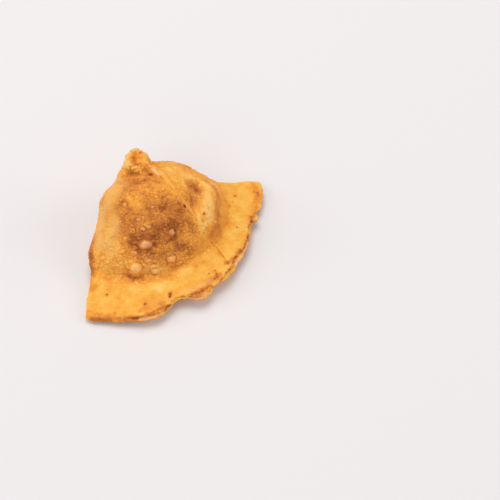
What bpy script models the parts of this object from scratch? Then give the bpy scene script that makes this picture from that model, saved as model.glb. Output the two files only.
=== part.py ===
# Samosa: a half disc of dough rolled into a cone, filled, and pressed flat along its wide mouth.
# It lies on its plump underside with the pinched tip up, and its mouth fans out to the front and right.
import bpy
import bmesh
from math import atan2, cos, exp, hypot, pi, radians, sin, sqrt
from mathutils import Vector, noise

NAME = "samosa"
MM = 0.001

# Lengths are in millimetres. In the design frame the tip stands over the zero point, "out" runs
# from it along the middle of the mouth, "side" runs across the mouth, and height is from the floor.
MOUTH_DIRECTION = -49.5
MOUTH_OUT = 77.5
SHOULDER_HEIGHT = 43.5
FILLING_OUT = 57.0
FLANGE_SLOPE = 0.14
RIM_TOP = 9.6
RIM_UNDERSIDE = 6.6

# How the filling's height falls towards the flange: 1 - (out / FILLING_OUT) ** first, ** second.
FILLING_FALL = (3.0, 0.85)

# The underside: a plump back panel down to the heel, a flat resting spot, then a rise to the rim.
HEEL_OUT = 24.0
HEEL_CURVE = 1.7
TOE_OUT = 44.0
TOE_CURVE = 1.4
REST_SINK = 0.9

# How full each sheet is between the folds: 1 - across ** first, ** second. It turns into a full
# circle at the nub and into an arc at the rim.
TOP_FULLNESS = (2.5, 0.6)
UNDERSIDE_FULLNESS = (3.2, 0.5)
NUB_FULLNESS = (2.0, 0.5)
RIM_FULLNESS = (2.0, 0.8)

# Stretches of the way from the tip (0) to the rim (1), each from where a change starts to its end.
NUB_FADE = (0.0, 0.12)
FOLD_SWELLS = (0.06, 0.2)
FOLD_THINS = (0.45, 0.72)
FLANGE_START = (0.6, 0.85)
RIM_START = (0.7, 1.0)
LIP_START = (0.96, 1.0)

# The two folded edges run from the tip to the corners of the mouth: out, side, height. They are plump
# where the filling is and thin beyond it. A swell is its place along the fold, its width and its reach.
LEFT_CORNER = (43.2, -72.0, 2.8)
RIGHT_CORNER = (36.2, 66.4, 3.6)
LEFT_SWING = 2.05
RIGHT_SWING = 1.45
FOLD_FALL = 1.62
FOLD_EDGE = 3.4
FOLD_PLUMP = 9.0
SWELLS_LEFT = ((0.06, 0.04, 1.2), (0.21, 0.11, 4.7), (0.45, 0.13, 1.0), (0.59, 0.06, 1.4),
               (0.80, 0.10, -3.0))
SWELLS_RIGHT = ((0.12, 0.08, -3.6), (0.37, 0.14, -1.8), (0.68, 0.16, -6.4))

# The mouth's edge: where it reaches further or less far, by its place from left (-1) to right (1), how
# ragged it is, and how far its lower layer of dough stands out past the upper one.
RIM_LOBES = ((-0.96, 0.06, 1.2), (-0.66, 0.10, 1.8), (-0.55, 0.06, 1.6), (-0.38, 0.10, -4.4),
             (-0.21, 0.08, 3.6), (0.27, 0.12, -2.6), (0.50, 0.16, -1.2), (0.68, 0.21, -5.4))
RIM_RAGGED = 0.9
RIM_WAVE = 1.0
LAYER_LIP = 1.3

# The pinched tip is a rough ring with a shallow hollow, leaning to the front. Its uneven lobes are
# given as their number, their turn and their height.
NUB_RADIUS = 6.2
NUB_RISE = 3.4
NUB_LENGTH = 0.05
NUB_HOLLOW = 2.4
NUB_TILT = 0.25
NUB_SHIFT = (0.5, 0.6)
NUB_LOBES = ((3.0, 0.6, 0.35), (5.0, 2.0, 0.25))

# The seam is where one side of the dough laps over the other: its distance to the side of the
# middle line, how far it strays over the mouth's length, how it wanders (size, length), the height
# of the lap, and how far the lap's slope reaches on its high and on its low side.
SEAM_SIDE = 5.6
SEAM_STRAY = 4.5
SEAM_WANDER = (0.8, 7.0)
SEAM_START = (4.0, 12.0)
SEAM_LAP = 1.1
SEAM_SLOPES = (9.0, 0.9)

# A furrow and a ridge run down the filling right of the seam, and soft ridges left of it: each from
# one point to another (out and side), with its half width and its height.
FOLDS_ON_TOP = (((31.0, 19.5), (42.0, 12.5), 4.0, -2.4),
                ((33.0, 28.5), (54.0, 16.0), 3.4, 1.9),
                ((0.0, -9.0), (1.5, -13.0), 3.2, 1.2),
                ((4.0, -14.0), (21.0, -37.0), 4.5, 1.0),
                ((14.0, 8.0), (34.0, 7.0), 3.0, 0.8))

# Big blisters: out, side, radius, height. Their sides fall between two shares of the radius.
BLISTERS = ((39.9, -24.7, 3.6, 1.9), (43.0, -34.9, 4.0, 2.0), (46.5, -10.5, 2.4, 1.1),
            (38.6, -31.3, 2.2, 0.9), (46.6, -27.2, 2.2, 0.9), (52.4, -15.9, 2.6, 1.1),
            (50.4, -25.0, 2.2, 0.8), (51.3, -8.1, 2.0, 0.7))
BLISTER_SIDE = (0.3, 1.1)

# Uneven dough: broad dents and finer bumps, as size and depth.
DENTS = (14.0, 1.1)
BUMPS = (4.5, 0.35)

# Grid of the shaped block, and the triangles that are left of it.
STEPS_OUT = 96
STEPS_ACROSS = 132
STEPS_THICK = 6
SMOOTHING_ROUNDS = 2
TRIANGLES = 10200

FLOOR_CUTTER_SIZE = (300.0, 300.0, 20.0)

CRUST_COLOUR = (0.73, 0.32, 0.07, 1.0)
CRUST_ROUGHNESS = 0.55


def ease(start, end, x):
    t = min(max((x - start) / (end - start), 0.0), 1.0)
    return t * t * (3.0 - 2.0 * t)


def mix(a, b, t):
    return a + (b - a) * t


def bump(x, centre, width):
    return exp(-((x - centre) / width) ** 2)


def bumps(x, shapes):
    return sum(reach * bump(x, centre, width) for centre, width, reach in shapes)


def fullness(across, curve):
    return max(1.0 - abs(across) ** curve[0], 0.0) ** curve[1]


def nub_share(u):
    return 1.0 - ease(0.0, NUB_LENGTH, u)


def crest(u):
    # Top sheet along the middle of the mouth.
    out = mix(NUB_RADIUS, MOUTH_OUT, u)
    flange = RIM_TOP + (MOUTH_OUT - out) * FLANGE_SLOPE
    height = mix(flange, SHOULDER_HEIGHT, fullness(min(out / FILLING_OUT, 1.0), FILLING_FALL))
    return Vector((out, 0.0, height + NUB_RISE * nub_share(u)))


def underside(u):
    # Bottom sheet along the middle of the mouth.
    out = mix(-NUB_RADIUS, MOUTH_OUT, u)
    back = max((HEEL_OUT - out) / (HEEL_OUT + NUB_RADIUS), 0.0) ** HEEL_CURVE * SHOULDER_HEIGHT
    toe = max((out - TOE_OUT) / (MOUTH_OUT - TOE_OUT), 0.0) ** TOE_CURVE * (RIM_UNDERSIDE + REST_SINK)
    return Vector((out, 0.0, back + toe - REST_SINK + NUB_RISE * nub_share(u)))


def fold(u, corner, swing, swells):
    # Outermost line of a folded edge, from the nub's side to a corner of the mouth.
    out, side, height = corner
    hand = 1.0 if side > 0.0 else -1.0
    return Vector((out * u ** swing,
                   mix(NUB_RADIUS * hand, side, u) + hand * bumps(u, swells),
                   mix(height, SHOULDER_HEIGHT, (1.0 - u) ** FOLD_FALL) + NUB_RISE * nub_share(u)))


def roundness(u, v, curve):
    # How far a sheet stands off the line between the folds.
    nub = 1.0 - ease(*NUB_FADE, u)
    rim = ease(*FLANGE_START, u)
    here = [mix(mix(body, tip, nub), edge, rim)
            for body, tip, edge in zip(curve, NUB_FULLNESS, RIM_FULLNESS)]
    return fullness(v, here)


def rim_detail(u, v, w, point):
    # The torn edge of the mouth: lobes, a ragged line, and a lower layer that stands out.
    share = ease(*RIM_START, u)
    if share == 0.0:
        return Vector((0.0, 0.0, 0.0))
    ragged = noise.noise((v * 13.0, 4.0, 0.0)) + 0.6 * noise.noise((v * 37.0, 9.0, 0.0))
    layer = 0.5 - ease(0.35, 0.65, w)
    lip = LAYER_LIP * (1.0 + 1.2 * noise.noise((v * 9.0, 2.0, 7.0))) * layer * ease(*LIP_START, u)
    reach = bumps(v, RIM_LOBES) * share + RIM_RAGGED * ragged * ease(0.9, 1.0, u) + lip
    outward = Vector((point.x, point.y, 0.0)).normalized() * reach
    outward.z = RIM_WAVE * noise.noise((v * 5.0, 1.0, 3.0)) * share
    return outward


def nub_detail(u, point):
    # The tip leans to the front, its ring is uneven, and its end is hollow.
    share = nub_share(u)
    if share == 0.0:
        return Vector((0.0, 0.0, 0.0))
    angle = atan2(point.y, point.x)
    across = hypot(point.x, point.y) / NUB_RADIUS
    uneven = sum(height * sin(lobes * angle + turn) for lobes, turn, height in NUB_LOBES)
    hollow = NUB_HOLLOW * (1.0 - ease(0.2, 0.75, across)) if u == 0.0 else 0.0
    lift = (NUB_TILT * to_world(point).y + uneven) * share - hollow
    spread = uneven * across
    return Vector((share * (NUB_SHIFT[0] + cos(angle) * spread),
                   share * (NUB_SHIFT[1] + sin(angle) * spread), lift))


def place(u, v, w):
    # u runs from the nub to the rim, v from the left fold to the right one, w from bottom to top.
    left = fold(u, LEFT_CORNER, LEFT_SWING, SWELLS_LEFT)
    right = fold(u, RIGHT_CORNER, RIGHT_SWING, SWELLS_RIGHT)
    top = crest(u)
    bottom = underside(u)
    middle = (left + right) / 2.0
    across = left.lerp(right, (v + 1.0) / 2.0)
    upper = across + (top - middle) * roundness(u, v, TOP_FULLNESS)
    lower = across + (bottom - middle) * roundness(u, v, UNDERSIDE_FULLNESS)

    # At the folds the two sheets part by the edge's thickness, and the wall between them is round.
    edge = mix(FOLD_EDGE, FOLD_PLUMP, ease(*FOLD_SWELLS, u) - ease(*FOLD_THINS, u))
    apart = (top - bottom).normalized() * edge / 2.0 * abs(v) ** 6
    point = (lower - apart).lerp(upper + apart, w)
    bulge = sqrt(max(1.0 - (2.0 * w - 1.0) ** 2, 0.0))
    flat = ease(*FLANGE_START, u)
    point.y += (mix(0.15 * ease(*NUB_FADE, u), 0.5, flat) * bulge - 0.5 * flat) * edge * v ** 9
    return point + rim_detail(u, v, w, point) + nub_detail(u, point)


def to_world(point, degrees=MOUTH_DIRECTION):
    turn = radians(degrees)
    return Vector((point.x * cos(turn) - point.y * sin(turn),
                   point.x * sin(turn) + point.y * cos(turn), point.z))


def from_world(point):
    return to_world(point, -MOUTH_DIRECTION)


def distance_to_line(spot, start, end):
    # Distance in plan from a spot to the line between two points, past its ends too.
    along = Vector(end) - Vector(start)
    share = (spot - Vector(start)).dot(along) / along.length_squared
    return (spot - Vector(start) - along * min(max(share, 0.0), 1.0)).length


def top_relief(spot):
    # Height to add on the top sheet: the seam's lap, the furrow and ridges, and the big blisters.
    out, side = spot
    size, length = SEAM_WANDER
    past_seam = side - SEAM_SIDE - SEAM_STRAY * out / MOUTH_OUT - size * sin(out / length)
    slope = SEAM_SLOPES[0] if past_seam < 0.0 else SEAM_SLOPES[1]
    height = SEAM_LAP * ease(*SEAM_START, out) * bump(past_seam, 0.0, slope)
    for start, end, width, rise in FOLDS_ON_TOP:
        height += rise * bump(distance_to_line(spot, start, end), 0.0, width)
    for centre_out, centre_side, radius, rise in BLISTERS:
        across = hypot(out - centre_out, side - centre_side) / radius
        height += rise * (1.0 - ease(*BLISTER_SIDE, across))
    return height


def dough_relief(point):
    return sum(depth * noise.noise(point / size) for size, depth in (DENTS, BUMPS))


def shaped_block():
    # A block of cells, each corner moved to its place on the samosa, then smoothed and given relief.
    bm = bmesh.new()
    bmesh.ops.create_cube(bm, size=2.0)
    for axis, steps in enumerate((STEPS_OUT, STEPS_ACROSS, STEPS_THICK)):
        along = [e for e in bm.edges if abs(e.verts[0].co[axis] - e.verts[1].co[axis]) > 1.0]
        bmesh.ops.subdivide_edges(bm, edges=along, cuts=steps - 1, use_grid_fill=True)
    spots = [((vert.co.x + 1.0) / 2.0, sin(vert.co.y * pi / 2.0), (vert.co.z + 1.0) / 2.0)
             for vert in bm.verts]
    for vert, (u, v, w) in zip(bm.verts, spots):
        vert.co = to_world(place(u, v, w))
    for _ in range(SMOOTHING_ROUNDS):
        bmesh.ops.smooth_vert(bm, verts=bm.verts, factor=0.5,
                              use_axis_x=True, use_axis_y=True, use_axis_z=True)
    bmesh.ops.recalc_face_normals(bm, faces=bm.faces)
    bm.normal_update()
    raised = []
    for vert, (u, v, w) in zip(bm.verts, spots):
        past_nub = ease(0.05, 0.1, u)
        on_top = past_nub * ease(0.5, 1.0, w) * (1.0 - ease(0.99, 1.0, abs(v)))
        height = dough_relief(vert.co) * mix(0.25, 1.0, past_nub)
        if on_top > 0.0:
            height += top_relief(from_world(vert.co).xy) * on_top
        raised.append(vert.co + vert.normal * height)
    for vert, co in zip(bm.verts, raised):
        vert.co = co * MM
    return bm


def crust_material():
    mat = bpy.data.materials.new("fried_crust")
    mat.use_nodes = True
    shader = mat.node_tree.nodes["Principled BSDF"]
    shader.inputs["Base Color"].default_value = CRUST_COLOUR
    shader.inputs["Roughness"].default_value = CRUST_ROUGHNESS
    shader.inputs["Metallic"].default_value = 0.0
    return mat


def new_collection(name):
    group = bpy.data.collections.new(name)
    bpy.context.scene.collection.children.link(group)
    return group


def floor_cutter(group):
    # Box under the floor, which cuts the underside flat where the samosa rests.
    width, depth, height = (size * MM for size in FLOOR_CUTTER_SIZE)
    bpy.ops.mesh.primitive_cube_add(size=1.0, location=(0.0, 0.0, 0.0))
    cutter = bpy.context.object
    cutter.name = "floor_cutter"
    for vert in cutter.data.vertices:
        vert.co = Vector((vert.co.x * width, vert.co.y * depth, (vert.co.z - 0.5) * height))
    cutter.hide_render = True
    cutter.display_type = "WIRE"
    for old_group in list(cutter.users_collection):
        old_group.objects.unlink(cutter)
    group.objects.link(cutter)
    return cutter


def centre_in_plan(samosa):
    # The box of the finished solid stands centred on the origin.
    evaluated = samosa.evaluated_get(bpy.context.evaluated_depsgraph_get())
    corners = [Vector(corner) for corner in evaluated.bound_box]
    middle = (min(corners, key=lambda c: c.x + c.y) + max(corners, key=lambda c: c.x + c.y)) / 2.0
    for vert in samosa.data.vertices:
        vert.co -= Vector((middle.x, middle.y, 0.0))


def main():
    for old in list(bpy.data.objects):
        bpy.data.objects.remove(old, do_unlink=True)
    parts = new_collection(NAME)
    cutters = new_collection("cutters")

    bm = shaped_block()
    mesh = bpy.data.meshes.new(NAME)
    bm.to_mesh(mesh)
    bm.free()
    mesh.shade_smooth()
    mesh.materials.append(crust_material())
    samosa = bpy.data.objects.new(NAME, mesh)
    parts.objects.link(samosa)

    thin = samosa.modifiers.new("fewer_faces", "DECIMATE")
    thin.ratio = TRIANGLES / (2.0 * len(mesh.polygons))
    cut = samosa.modifiers.new("flat_rest", "BOOLEAN")
    cut.operation = "DIFFERENCE"
    cut.solver = "EXACT"
    cut.object = floor_cutter(cutters)
    centre_in_plan(samosa)


main()
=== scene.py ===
import math

import bpy
import numpy as np
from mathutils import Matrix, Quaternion, Vector, noise
from mathutils.kdtree import KDTree


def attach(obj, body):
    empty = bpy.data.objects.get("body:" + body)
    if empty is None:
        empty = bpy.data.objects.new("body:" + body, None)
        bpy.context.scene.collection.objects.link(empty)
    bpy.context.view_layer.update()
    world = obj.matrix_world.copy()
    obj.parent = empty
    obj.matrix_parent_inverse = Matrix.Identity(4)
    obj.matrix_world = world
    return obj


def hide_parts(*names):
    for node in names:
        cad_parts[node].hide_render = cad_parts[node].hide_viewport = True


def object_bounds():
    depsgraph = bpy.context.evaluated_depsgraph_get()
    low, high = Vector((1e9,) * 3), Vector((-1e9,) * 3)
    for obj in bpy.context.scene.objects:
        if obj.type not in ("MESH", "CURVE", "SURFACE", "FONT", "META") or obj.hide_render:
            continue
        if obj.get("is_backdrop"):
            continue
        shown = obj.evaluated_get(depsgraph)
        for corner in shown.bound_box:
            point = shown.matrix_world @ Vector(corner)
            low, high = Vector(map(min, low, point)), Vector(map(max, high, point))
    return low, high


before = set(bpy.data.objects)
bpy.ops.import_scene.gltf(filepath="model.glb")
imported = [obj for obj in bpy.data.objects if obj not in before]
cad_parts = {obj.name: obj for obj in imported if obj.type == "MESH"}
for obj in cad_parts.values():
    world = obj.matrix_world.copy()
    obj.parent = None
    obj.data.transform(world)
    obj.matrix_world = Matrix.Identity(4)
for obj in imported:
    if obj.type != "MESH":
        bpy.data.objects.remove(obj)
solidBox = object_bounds()
mm = 0.001
print("frame loaded")


# small helpers for shapes, all in millimetres

def ease(low, high, value):
    share = np.clip((value - low) / (high - low), 0.0, 1.0)
    return share * share * (3.0 - 2.0 * share)


def hill(distance, width):
    return np.exp(-(distance / width) ** 2)


def drift(points, size, turn):  # smooth unevenness from -1 to 1, in lumps of that size
    shift = Vector((turn * 17.3, 5.1 - turn * 9.7, turn * 3.9))
    return np.array([noise.noise(Vector(spot) / size + shift) for spot in points])


def choose(piece):  # the only selected object, and the active one
    bpy.ops.object.select_all(action="DESELECT")
    piece.select_set(True)
    bpy.context.view_layer.objects.active = piece


def finishWith(piece, kind, **settings):  # adds a modifier and applies it
    choose(piece)
    modifier = piece.modifiers.new(kind.lower(), kind)
    for name, value in settings.items():
        setattr(modifier, name, value)
    bpy.ops.object.modifier_apply(modifier=modifier.name)


def readShape(piece):
    count = len(piece.data.vertices)
    points = np.empty(count * 3, np.float32)
    normals = np.empty(count * 3, np.float32)
    piece.data.vertices.foreach_get("co", points)
    piece.data.vertices.foreach_get("normal", normals)
    return points.reshape(-1, 3).astype(float) / mm, normals.reshape(-1, 3).astype(float)


def writeShape(piece, points):
    piece.data.vertices.foreach_set("co", (points * mm).astype(np.float32).ravel())
    piece.data.update()


def evened(piece, points, rounds):  # each point moved towards the middle of its neighbours, some times over
    ends = np.empty(2 * len(piece.data.edges), np.int32)
    piece.data.edges.foreach_get("vertices", ends)
    first, second = ends.reshape(-1, 2).T
    count = np.bincount(ends, minlength=len(points))[:, None]
    pull = 0.6   # share of the way to that middle in each round
    for step in range(rounds):
        total = [np.bincount(first, points[second, axis], len(points))
                 + np.bincount(second, points[first, axis], len(points)) for axis in range(3)]
        points = (1.0 - pull) * points + pull * np.column_stack(total) / count
    return points


def rememberOn(piece, name, values):  # a value for each point, which the material reads by name
    layer = piece.data.attributes.new(name, "FLOAT", "POINT")
    layer.data.foreach_set("value", values.astype(np.float32))


# the camera stands where the photograph was taken from

view = {
    "place": (42.85, -324.88, 503.0),  # mm
    "lookDown": 57.0,                  # degrees below the horizon
    "focal": 1005.0,                   # pixels, in a picture of 500 by 500
    "picture": 500.0,
    "sensor": 36.0,
}

bpy.ops.object.select_all(action="DESELECT")
bpy.ops.object.camera_add(location=[x * mm for x in view["place"]],
                          rotation=(math.radians(90.0 - view["lookDown"]), 0.0, 0.0))
camera = bpy.context.object
camera.name = "camera"
camera.data.sensor_width = view["sensor"]
camera.data.lens = view["sensor"] * view["focal"] / view["picture"]
camera.data.clip_start = 0.05
bpy.context.scene.camera = camera
bpy.context.view_layer.update()


# the crust: a fine mesh over the solid, with the relief of the fried dough

crustLook = {
    "mergeWithin": 0.01,      # mm, as all lengths here
    "meshSize": 0.39,
    "smoothing": (0.5, 6),    # strength, rounds
    "mostTriangles": 194000,
    "tip": (-24.15, 34.12),   # the pinched tip's place in plan
    "mouthTurn": -49.5,       # degrees, the way the mouth points
    "swell": ((11.0, 0.45), (4.6, 0.42), (2.4, 0.16)),      # lumps of the filled part: size, height
    "flatSwell": ((9.0, 0.30), (3.4, 0.16), (1.7, 0.07)),   # and of the flat part
    # the foot of the filled part, where the flat part starts, in pixels, and how wide the change is
    "foot": ((86, 273), (100, 277), (118, 281), (135, 283), (152, 280), (170, 275), (186, 264),
             (200, 251), (211, 241), (218, 232), (220.5, 220), (221.5, 205), (221, 190), (218, 183)),
    "footWidth": (-2.6, 4.6),
    "footWander": 0.8,        # how unevenly it runs
}

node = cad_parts["samosa"]
crust = bpy.data.objects.new("crust", node.data.copy())
bpy.context.scene.collection.objects.link(crust)
choose(crust)
bpy.ops.object.mode_set(mode="EDIT")
bpy.ops.mesh.select_all(action="SELECT")
bpy.ops.mesh.remove_doubles(threshold=crustLook["mergeWithin"] * mm)
bpy.ops.object.mode_set(mode="OBJECT")
finishWith(crust, "SUBSURF", levels=1, render_levels=1)
finishWith(crust, "REMESH", mode="VOXEL", voxel_size=crustLook["meshSize"] * mm)
smoothing, rounds = crustLook["smoothing"]
finishWith(crust, "SMOOTH", factor=smoothing, iterations=rounds)
points, normals = readShape(crust)
print("crust meshed,", len(points), "points")


def seenAt(x, y):  # the point of the crust, in mm, that a pixel of the photograph shows, and its normal
    half = view["picture"] / 2.0
    ray = Vector(((x - half) / view["focal"], (half - y) / view["focal"], -1.0)).normalized()
    ray.rotate(camera.matrix_world.to_quaternion())
    hit, place, normal, face = crust.ray_cast(camera.location, ray)
    if hit:
        return np.array(place) / mm, np.array(normal)
    rest = points - np.array(view["place"])       # just past the outline: the nearest point of the crust
    index = np.linalg.norm(np.cross(rest, np.array(ray)), axis=1).argmin()
    return points[index].copy(), normals[index].copy()


def alongPhoto(spots):
    return np.array([seenAt(*spot)[0] for spot in spots])


def nearLine(points, line):  # distance of each point to a line of several points, and on which side of it
    nearest = np.full(len(points), 1e9)
    hand = np.zeros(len(points))
    for start, end in zip(line[:-1], line[1:]):
        along = end - start
        share = np.clip((points - start) @ along / (along @ along), 0.0, 1.0)
        away = points - start - share[:, None] * along
        gap = np.linalg.norm(away, axis=1)
        closer = gap < nearest
        nearest[closer] = gap[closer]
        hand[closer] = np.sign(along[0] * away[:, 1] - along[1] * away[:, 0])[closer]
    return nearest, hand


ragged = {   # keeps strokes from straight edges
    "broad": 6.0,
    "fine": 2.4,
    "fineShare": 0.6,
    "strength": 0.55,
}
wander = drift(points, ragged["broad"], 71.0) + ragged["fineShare"] * drift(points, ragged["fine"], 73.0)


def stroke(spots, reach):  # 1 on a line over the photograph's pixels, 0 beyond its reach in mm
    spots = spots if len(spots) > 1 else (spots[0], (spots[0][0] + 0.1, spots[0][1]))
    away = nearLine(points, alongPhoto(spots))[0]
    return 1.0 - ease(0.0, 1.0, away / reach * (1.0 + ragged["strength"] * wander))


mouthTurn = math.radians(crustLook["mouthTurn"])
x = points[:, 0] - crustLook["tip"][0]
y = points[:, 1] - crustLook["tip"][1]
out = x * math.cos(mouthTurn) + y * math.sin(mouthTurn)    # distance from the tip the way the mouth points
side = y * math.cos(mouthTurn) - x * math.sin(mouthTurn)   # and to its left, seen from above
fromTip = np.hypot(out, side)
outward = np.column_stack((x, y, np.zeros(len(points)))) / (fromTip[:, None] + 1e-9)
inPlan = (1.0, 1.0, 0.0)
gap, hand = nearLine(points * inPlan, alongPhoto(crustLook["foot"]) * inPlan)
flat = ease(*crustLook["footWidth"], -hand * gap + crustLook["footWander"] * wander)
underside = ease(0.1, 0.6, -normals[:, 2])
toCamera = np.array(view["place"]) - points
toCamera /= np.linalg.norm(toCamera, axis=1)[:, None]
hidden = 1.0 - ease(-0.1, 0.25, (normals * toCamera).sum(axis=1))   # what the photograph doesn't show

# broad and finer unevenness of the dough
for share, sizes, turn in ((1.0 - flat, crustLook["swell"], 1.0), (flat, crustLook["flatSwell"], 5.0)):
    for size, height in sizes:
        points += normals * (share * height * drift(points, size, turn + size))[:, None]

# folds and hollows pressed into the dough by hand: pixels, reach and height in mm
kneading = {
    "furrow": (((189, 182), (192, 194), (196, 206)), 6.5, -0.8),
    "ridgeBesideIt": (((205, 184), (207, 204), (202, 224)), 6.0, 0.4),
    "flankFold": (((117, 182), (108, 212), (97, 252)), 4.5, 0.4),
    "flankHollow": (((126, 196), (118, 222), (108, 250)), 5.0, -0.35),
    "seamShoulder": (((152, 185), (166, 203), (178, 222)), 6.0, 0.3),
    "footCrease": (((94, 275), (112, 281), (136, 282), (160, 278), (184, 264)), 4.0, -0.4),
    "neck": (((127, 171), (132, 174), (138, 174)), 2.6, -0.5),
    "tipRidge": (((147, 163), (153, 169), (159, 175)), 1.8, 0.8),
    "tipHollow": (((150, 161), (157, 166)), 2.0, -0.4),
    "besideTipRidge": (((145, 169), (151, 174)), 2.2, -0.25),
    "shoulderLump": (((119, 173), (118, 180)), 3.4, 0.5),
    "leftOfTip": (((122.5, 156), (122.5, 161)), 3.0, -0.8),
    "rightOfTip": (((150, 157), (150, 163)), 2.6, -0.5),
    "tipPeak": (((127, 156), (128.5, 152), (133, 149.5)), 3.0, 1.1),
    "tipFlap": (((142, 154.5), (146, 156), (149, 159)), 3.0, 1.5),
    "cornerCurl": (((92, 300), (90, 312)), 3.5, 0.3),
    "rightFoot": (((212, 180), (218, 189), (221, 200), (221, 215), (217, 230)), 6.0, 0.8),
}
# the side of the filled part that has no sharp foot: pixels, reach, rounds of smoothing
softened = (((214, 186), (219, 193), (221.5, 205), (221, 218), (216, 233)), 10.0, 320)
writeShape(crust, points)
spots, reach, rounds = softened
points += (evened(crust, points, rounds) - points) * stroke(spots, reach)[:, None] ** 0.5
push = np.zeros(len(points))
for spots, reach, height in kneading.values():
    push += height * stroke(spots, reach)
points += normals * push[:, None]
writeShape(crust, points)
points, normals = readShape(crust)
print("dough kneaded")


def crumbly(points, size, where, turn):  # grains with creases between them, only where asked
    shift = Vector((turn, turn * 0.7, -turn))
    grains = np.zeros(len(points))
    asked = where > 0.02
    flank = 0.6   # of the size, from a crease to a grain's full height
    sunk = 0.4    # how deep the creases lie, as a share of that height
    for index in np.nonzero(asked)[0]:
        gaps = noise.voronoi(Vector(points[index]) / size + shift)[0]
        grains[index] = min(gaps[1] - gaps[0], flank) / flank
    return grains - sunk * asked


# the torn mouth, with its two layers parting here and there
mouth = {
    "reach": 59.0,       # degrees to each side that the torn edge runs
    "begins": 60.0,      # mm from the tip
    "steps": 260,        # sectors of half a circle, in which the edge is measured
    "band": 1.6,         # mm of the edge over which its height is taken
    "depth": 3.6,        # mm of the edge that the tearing moves
    "tears": ((4.6, 0.80), (2.0, 0.55), (1.0, 0.34)),   # size, depth
    "teeth": {           # where a piece of the edge stands out, or back: pixel, reach, how far
        "rightTooth": ((257, 219.5), 3.2, 2.8),
        "aboveRightTooth": ((260, 208), 3.0, 0.7),
        "belowRightTooth": ((251.5, 229), 2.6, -0.8),
        "frontStep": ((183, 301), 2.2, -0.3),
        "frontRight": ((209, 292), 2.4, 0.8),
    },
    "wavy": ((2.4, 0.45), (1.0, 0.20)),                 # ups and downs: size, height
    "split": (0.50, 0.20, 0.12),   # where the layers part, as a share of the height, how uneven, how soft
    "crack": (0.12, 0.32),         # half height as a share, depth
    "crackOpen": (0.1, 0.9, 0.9),  # everywhere, in stretches, and where the lower layer shows
    "peek": (1.0, 0.8),            # where the lower layer shows: the upper one stands back, that one out
    "crumb": ((2.6, 0.42), (1.2, 0.20)),                # grains of the broken dough: size, height
    "lip": (1.9, 1.7, 0.30),       # a low lip along the upper face: how far in, half width, height
    "rolled": (((88, 320), (112, 321), (134, 320)), 9.0),                    # where the edge is rolled over
    "healed": (((178, 298), (188, 297), (199, 297), (208, 292)), 5.0),       # where no crack shows
    "flaky": (((176, 300), (190, 296), (203, 291), (211, 286)), 4.5, 0.9),   # where its top is broken too
    "lowerShows": {
        "atTheFront": ((124, 319), (140, 318), (156, 316), (165, 311)),
        "atTheRight": ((229, 272), (236, 262), (243, 250), (247, 241)),
    },
    "showsWithin": (2.5, 6.0),     # mm of those lines
}

# how deep each point lies inside the outer edge, and how high between the lower and the upper face
bearing = np.degrees(np.arctan2(side, out))
slot = np.clip(((bearing + 90.0) / 180.0 * mouth["steps"]).astype(int), 0, mouth["steps"] - 1)
edgeAt = np.zeros(mouth["steps"])
np.maximum.at(edgeAt, slot, fromTip)
edgeAt = np.convolve(np.pad(edgeAt, 2, mode="edge"), np.ones(5) / 5.0, mode="valid")
inside = edgeAt[slot] - fromTip
onMouth = (1.0 - ease(mouth["reach"] - 3.0, mouth["reach"], np.abs(bearing))) * (fromTip > mouth["begins"])
rim = onMouth * (1.0 - ease(0.0, mouth["depth"], inside))
lowAt = np.full(mouth["steps"], 1e9)
highAt = np.full(mouth["steps"], -1e9)
close = (inside < mouth["band"]) & (fromTip > mouth["begins"])
np.minimum.at(lowAt, slot[close], points[close, 2])
np.maximum.at(highAt, slot[close], points[close, 2])
wallShare = np.clip((points[:, 2] - lowAt[slot]) / np.maximum(highAt[slot] - lowAt[slot], 0.5), 0.0, 1.0)

ring = outward * edgeAt[slot][:, None]   # the same for all points above each other on the edge
upperTear = sum(depth * drift(ring, size, 2.0 + size) for size, depth in mouth["tears"])
lowerTear = sum(depth * drift(ring, size, 8.0 + size) for size, depth in mouth["tears"])
shown = np.zeros(len(points))
for spots in mouth["lowerShows"].values():
    line = alongPhoto(spots) * inPlan
    shown = np.maximum(shown, 1.0 - ease(*mouth["showsWithin"], nearLine(points * inPlan, line)[0]))
splitHeight, splitUneven, splitSoft = mouth["split"]
splitAt = splitHeight + splitUneven * drift(ring, 5.0, 3.0)
inUpper = ease(-splitSoft, splitSoft, wallShare - splitAt)
crackWidth, crackDepth = mouth["crack"]
everywhere, inStretches, withLower = mouth["crackOpen"]
crackOpen = np.clip(everywhere + inStretches * drift(ring, 3.5, 6.0) + withLower * shown, 0.0, 1.1)
crack = hill(wallShare - splitAt, crackWidth) * crackOpen
crack *= 1.0 - 0.85 * stroke(*mouth["healed"]) ** 0.5
back, forward = mouth["peek"]
upperMoved = upperTear - back * shown
lowerMoved = lowerTear * (1.0 - 0.6 * shown) + forward * shown
moved = upperMoved * inUpper + lowerMoved * (1.0 - inUpper)
moved -= crackDepth * crack
lipPlace, lipHalf, lipHeight = mouth["lip"]
onFlange = ease(0.3, 0.7, normals[:, 2]) * onMouth
edgeLip = hill(inside - lipPlace - 1.2 * drift(ring, 6.0, 14.0), lipHalf) * onFlange
broken = rim * (1.0 - ease(0.55, 0.95, np.abs(normals[:, 2]))) + 0.6 * edgeLip
rolled = 1.0 - 0.9 * stroke(*mouth["rolled"]) ** 0.5
broken = np.maximum(broken * rolled, mouth["flaky"][2] * stroke(*mouth["flaky"][:2]))
grains = sum(height * crumbly(points, size, broken, 3.0 + size) for size, height in mouth["crumb"])
for spot, reach, further in mouth["teeth"].values():
    away = np.linalg.norm((points - seenAt(*spot)[0]) * inPlan, axis=1)
    moved += further * (1.0 - ease(0.5, 1.0, away / reach))
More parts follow.
